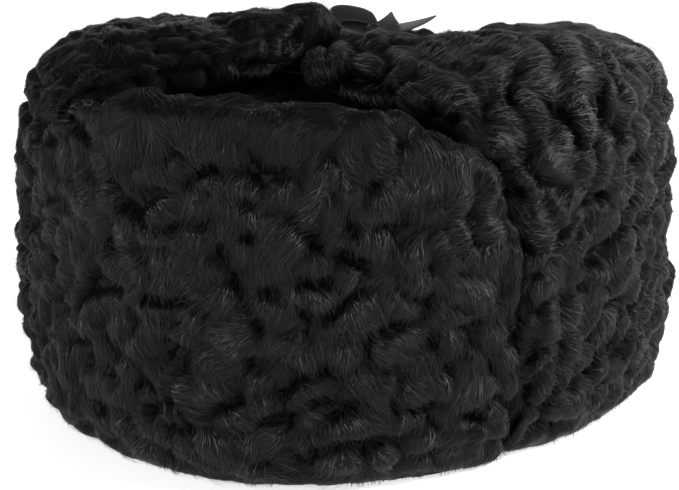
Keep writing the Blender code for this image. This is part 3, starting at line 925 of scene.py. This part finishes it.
def pelt_material():
    """The skin under the hair: painted darker in the creases, as painted shade, with fine rough hair as
    relief.
    """
    look, nodes, links, shader = material("karakul_pelt")
    shader.inputs["Roughness"].default_value = 0.45
    shader.inputs["Specular IOR Level"].default_value = 0.12
    shade = nodes.new("ShaderNodeMapRange")
    shade.inputs["From Min"].default_value = -2.5
    shade.inputs["From Max"].default_value = 1.5
    links.new(stored(nodes, "height")["Fac"], shade.inputs["Value"])
    tone = colour_ramp(nodes, PELT_TONES)
    links.new(shade.outputs["Result"], tone.inputs["Fac"])
    links.new(tone.outputs["Color"], shader.inputs["Base Color"])
    comb_out = nodes.new("ShaderNodeMapping")
    comb_out.inputs["Scale"].default_value = (2.4, 0.22, 1.0)
    links.new(stored(nodes, "lie")["Vector"], comb_out.inputs["Vector"])
    grain = nodes.new("ShaderNodeTexNoise")
    grain.inputs["Scale"].default_value = 1.0
    grain.inputs["Detail"].default_value = 2
    grain.inputs["Distortion"].default_value = 0.3
    links.new(comb_out.outputs["Vector"], grain.inputs["Vector"])
    relief(nodes, links, shader, grain.outputs["Fac"], 0.9, 0.5 * MM)
    return look


def skin_material():
    """The skin side of the pelts: plain dark suede, also laid on the fur side where painted shade is
    deep.
    """
    look, nodes, links, shader = material("pelt_skin_and_painted_shade")
    shader.inputs["Base Color"].default_value = (0.005, 0.0048, 0.0048, 1)
    shader.inputs["Roughness"].default_value = 0.9
    shader.inputs["Specular IOR Level"].default_value = 0.05
    place = nodes.new("ShaderNodeTexCoord")
    grain = nodes.new("ShaderNodeTexNoise")
    grain.inputs["Scale"].default_value = 900
    grain.inputs["Detail"].default_value = 3
    links.new(place.outputs["Object"], grain.inputs["Vector"])
    relief(nodes, links, shader, grain.outputs["Fac"], 0.5, 0.3 * MM)
    return look


def satin_material():
    """Black satin: a fine slanted weave, a soft sheen, paler along its edges, and tips painted paler as
    painted light.
    """
    look, nodes, links, shader = material("black_satin")
    shader.inputs["Roughness"].default_value = 0.38
    shader.inputs["Specular IOR Level"].default_value = 0.16
    spot = nodes.new("ShaderNodeUVMap")
    spot.uv_map = "weave"
    turned = nodes.new("ShaderNodeMapping")
    turned.inputs["Rotation"].default_value = (0, 0, SATIN_SLANT)
    links.new(spot.outputs["UV"], turned.inputs["Vector"])
    twill = nodes.new("ShaderNodeTexWave")
    twill.wave_type = "BANDS"
    twill.inputs["Scale"].default_value = SATIN_BANDS
    twill.inputs["Distortion"].default_value = 0.4
    twill.inputs["Detail"].default_value = 1
    links.new(turned.outputs["Vector"], twill.inputs["Vector"])
    tone = colour_ramp(nodes, SATIN_TONES)
    links.new(twill.outputs["Fac"], tone.inputs["Fac"])
    rim = nodes.new("ShaderNodeMapRange")
    rim.inputs["From Min"].default_value = SATIN_EDGE[0]
    rim.inputs["From Max"].default_value = SATIN_EDGE[1]
    rim.inputs["To Max"].default_value = SATIN_EDGE_SHARE
    links.new(stored(nodes, "edge")["Fac"], rim.inputs["Value"])
    grain = nodes.new("ShaderNodeMapRange")
    grain.inputs["To Min"].default_value = SATIN_TIP_SHARES[0]
    grain.inputs["To Max"].default_value = SATIN_TIP_SHARES[1]
    links.new(twill.outputs["Fac"], grain.inputs["Value"])
    # The tips painted paler as painted light, and the paler edges, mix the weave's tone towards the pale
    # one.
    light = nodes.new("ShaderNodeMath")
    light.operation = "MULTIPLY_ADD"
    light.use_clamp = True
    parts = (stored(nodes, "thin")["Fac"], grain.outputs["Result"], rim.outputs["Result"])
    for part, socket in zip(parts, light.inputs):
        links.new(part, socket)
    paler = nodes.new("ShaderNodeMix")
    paler.data_type = "RGBA"
    paler.inputs["B"].default_value = SATIN_PALE
    links.new(light.outputs["Value"], paler.inputs["Factor"])
    links.new(tone.outputs["Color"], paler.inputs["A"])
    links.new(paler.outputs["Result"], shader.inputs["Base Color"])
    relief(nodes, links, shader, twill.outputs["Fac"], 0.5, 0.1 * MM)
    return look


def white_sweep():
    """A pale floor that curves up behind the cap."""
    shape = bmesh.new()
    bmesh.ops.create_grid(shape, x_segments=1, y_segments=1, size=FLOOR_REACH)
    rear = [edge for edge in shape.edges if all(vertex.co.y > 0 for vertex in edge.verts)]
    wall = bmesh.ops.extrude_edge_only(shape, edges=rear)
    raised = [item for item in wall["geom"] if isinstance(item, bmesh.types.BMVert)]
    bmesh.ops.translate(shape, verts=raised, vec=(0, 0, WALL_HEIGHT))
    bmesh.ops.bevel(
        shape, geom=rear, offset=WALL_ROUND, offset_type="OFFSET", affect="EDGES", segments=WALL_SEGMENTS,
        profile=0.5, material=-1,
    )
    bmesh.ops.recalc_face_normals(shape, faces=shape.faces[:])
    mesh = bpy.data.meshes.new("floor")
    shape.to_mesh(mesh)
    shape.free()
    mesh.shade_smooth()
    floor = new_object("floor", mesh)
    look, _, _, shader = material("white_floor")
    shader.inputs["Base Color"].default_value = (0.92, 0.92, 0.92, 1)
    shader.inputs["Roughness"].default_value = 0.8
    shader.inputs["Specular IOR Level"].default_value = 0.2
    shader.inputs["Emission Color"].default_value = (1, 1, 1, 1)
    shader.inputs["Emission Strength"].default_value = FLOOR_GLOW
    mesh.materials.append(look)


def lamp(name, place, size, power):
    """Adds a square soft lamp that faces the middle of the cap."""
    data = bpy.data.lights.new(name, "AREA")
    data.shape = "SQUARE"
    data.size = size
    data.energy = power
    obj = bpy.data.objects.new(name, data)
    bpy.context.scene.collection.objects.link(obj)
    obj.location = place
    obj.rotation_euler = (Vector(place) - LAMPS_AIM).to_track_quat("Z", "Y").to_euler()


def studio():
    """The floor, the light all round and the lamps."""
    white_sweep()
    world = bpy.data.worlds.new("studio")
    bpy.context.scene.world = world
    world.use_nodes = True
    background = world.node_tree.nodes["Background"]
    background.inputs["Color"].default_value = (1, 1, 1, 1)
    background.inputs["Strength"].default_value = WORLD_LIGHT
    for facts in LAMPS:
        lamp(**facts)
    bpy.context.scene.view_settings.view_transform = "Standard"


def camera():
    """A camera where the photo's stood."""
    azimuth, elevation = radians(CAMERA_AZIMUTH), radians(CAMERA_ELEVATION)
    back = Vector((sin(azimuth) * cos(elevation), -cos(azimuth) * cos(elevation), sin(elevation)))
    right = Vector((cos(azimuth), sin(azimuth), 0))
    up = back.cross(right)
    place = LOOK_AT + right * LOOK_ACROSS + back * CAMERA_DISTANCE
    data = bpy.data.cameras.new("camera")
    data.sensor_width = SENSOR
    data.lens = PIXELS_PER_METRE / PICTURE_WIDTH * SENSOR
    data.clip_start = CLIP_START
    obj = bpy.data.objects.new("camera", data)
    bpy.context.scene.collection.objects.link(obj)
    turn = Matrix((right, up, back)).transposed().to_4x4()
    obj.matrix_world = Matrix.Translation(place) @ turn
    bpy.context.scene.camera = obj


def front_combed(points, outward):
    """Where the front flap's hair is combed down: along its top edge and over its left upper corner."""
    x, z = points[:, 0], points[:, 2]
    edge = fade(x, COMBED_EDGE["start"]) * (1 - fade(x, COMBED_EDGE["end"]))
    edge = edge * fade(z, COMBED_EDGE["height"])
    corner = fade(x, COMBED_CORNER["start"]) * fade(z, COMBED_CORNER["height"])
    return edge * COMBED_EDGE["share"] + corner * COMBED_CORNER["share"]


def front_shade(points, outward):
    """Where painted shade goes on the front flap: the rear of its top edge, which sinks into the trough.
    """
    return ramp(outward[:, 1], *FRONT_SHADE["rearwards"]) * fade(points[:, 2], FRONT_SHADE["height"])


def front_top_painted_shade(points, outward):
    """Painted shade: the hair high on the front flap, where it is combed, is painted darker than the
    curls under it.
    """
    return 1 - FRONT_TOP_PAINTED_SHADE["share"] * fade(points[:, 2], FRONT_TOP_PAINTED_SHADE["height"])


def right_shade(points, outward):
    """Where painted shade goes on the wearer's right ear: its side that slopes down into the trough."""
    along = fade(points[:, 0], RIGHT_SHADE["start"]) * (1 - fade(points[:, 0], RIGHT_SHADE["end"]))
    high = fade(points[:, 2], RIGHT_SHADE["height"])
    return along * high * ramp(-outward[:, 1], *RIGHT_SHADE["frontwards"])


def right_end_painted_shade(points, outward):
    """Painted shade: the hair round the end of the wearer's right ear is painted darker."""
    end = fade(points[:, 0], RIGHT_END_PAINTED_SHADE["start"]) * fade(points[:, 2], RIGHT_END_PAINTED_SHADE["height"])
    return 1 - RIGHT_END_PAINTED_SHADE["share"] * end


def left_top_painted_light(points, outward):
    """Painted light: the hair on the top of the wearer's left ear is painted lighter than the rest of it.
    """
    return LEFT_TOP_PAINTED_LIGHT["base"] + fade(points[:, 2], LEFT_TOP_PAINTED_LIGHT["height"]) * LEFT_TOP_PAINTED_LIGHT["more"]


def left_glow(points, outward):
    """Painted highlight: the smooth pale sheen painted on the ridges over the shoulder of the wearer's
    left ear.
    """
    shoulder = fade(points[:, 0], LEFT_RIDGE_HIGHLIGHT["start"]) * fade(points[:, 2], LEFT_RIDGE_HIGHLIGHT["height"])
    return shoulder * LEFT_RIDGE_HIGHLIGHT["strength"]


def nothing(points, outward):
    """No painted shade or painted highlight anywhere."""
    return np.zeros(len(points))


def even_sheen(points, outward):
    """Hair of the same brightness all over, with no painted light or shade."""
    return np.ones(len(points))


def pelt_kind(node, **facts):
    """What a pelt is like: the facts that all flaps share, with its own over them.

    inward is the way to the crown's middle. sizes, packing, flow and scatter rule how the curls are
    strewn, lean how they turn from the wall to the top, and relief how high they stand there.
    """
    common = {
        "pelt": node.replace("flap", "pelt"),
        "hair": node.replace("flap", "hair"),
        "slot": "karakul_fur",
        "cell": FORM_CELL,
        "smoothing": FORM_SMOOTHING,
        "fine_above": 0,
        "sizes": (0.7, 1.35),
        "packing": 1.45,
        "flow_length": 34 * MM,
        "flow": 60,
        "scatter": 24,
        "lean": (0, 0, 0),
        "relief": (1, 1, 1),
        "fan": (0.4, 1.5),
        "pitted": 0.7,
        "seam_pull": 0.75,
        "seam_fill": 1.4 * MM,
        "strand_length": (8 * MM, 13 * MM),
        "loose": 0.09,
        "bare": 0,
        "combed": None,
        # Painted light and shade: where painted shade goes, how strand tones are scaled by region, and
        # where ridges get a painted highlight; none unless a pelt has its own.
        "shade": nothing,
        "sheen": even_sheen,
        "glow": nothing,
    }
    return {**common, **facts}


PELTS = {
    "front_flap": pelt_kind(
        "front_flap", seed=11, inward=(0, 1, 0), half_wide=7.0 * MM, half_long=4.7 * MM,
        flow=48, scatter=20, strands=49000, combed=front_combed, shade=front_shade, bare=0.9,
        sheen=front_top_painted_shade,
    ),
    "nape_flap": pelt_kind(
        "nape_flap", seed=12, inward=(0, -1, 0), half_wide=6.0 * MM, half_long=4.4 * MM, strands=32000,
    ),
    "ear_flap_left": pelt_kind(
        "ear_flap_left", seed=13, inward=(-1, 0, 0), half_wide=10 * MM, half_long=5.2 * MM,
        sizes=(0.75, 1.25), packing=1.35, flow=22, scatter=14, lean=(30, 95, 40),
        relief=(1.45, 1.6, 0.75), pitted=0.6, strands=45000, sheen=left_top_painted_light, glow=left_glow,
    ),
    "ear_flap_right": pelt_kind(
        "ear_flap_right", seed=14, inward=(1, 0, 0), half_wide=5.5 * MM, half_long=4.2 * MM,
        lean=(-25, 0, 0), relief=(1.0, 0.8, 0.5), strands=43000, shade=right_shade, sheen=right_end_painted_shade,
    ),
    "crown": pelt_kind(
        "crown", seed=15, inward=(0, 0, 1), half_wide=6.0 * MM, half_long=6.0 * MM,
        relief=(0.3, 0.3, 0.3), seam_fill=0, strands=6500, cell=4.0 * MM, smoothing=4, fine_above=62 * MM,
        pelt="crown_pelt", hair="crown_hair", slot="crown_fur",
    ),
}

solids = {name: (places_of(obj.data)[0], face_arrays(obj.data)) for name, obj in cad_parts.items()}
looks = {
    "pelt": pelt_material(),
    "skin": skin_material(),
    "hair": hair_material("karakul_hair", HAIR_GLOSS),
    # A less glossy copy of the hair, for strands in painted shade.
    "shaded_hair": hair_material("shaded_hair", SHADED_GLOSS),
}
for node, pelt in PELTS.items():
    dress(node, pelt, looks)
tied_ribbon(satin_material())
studio()
camera()
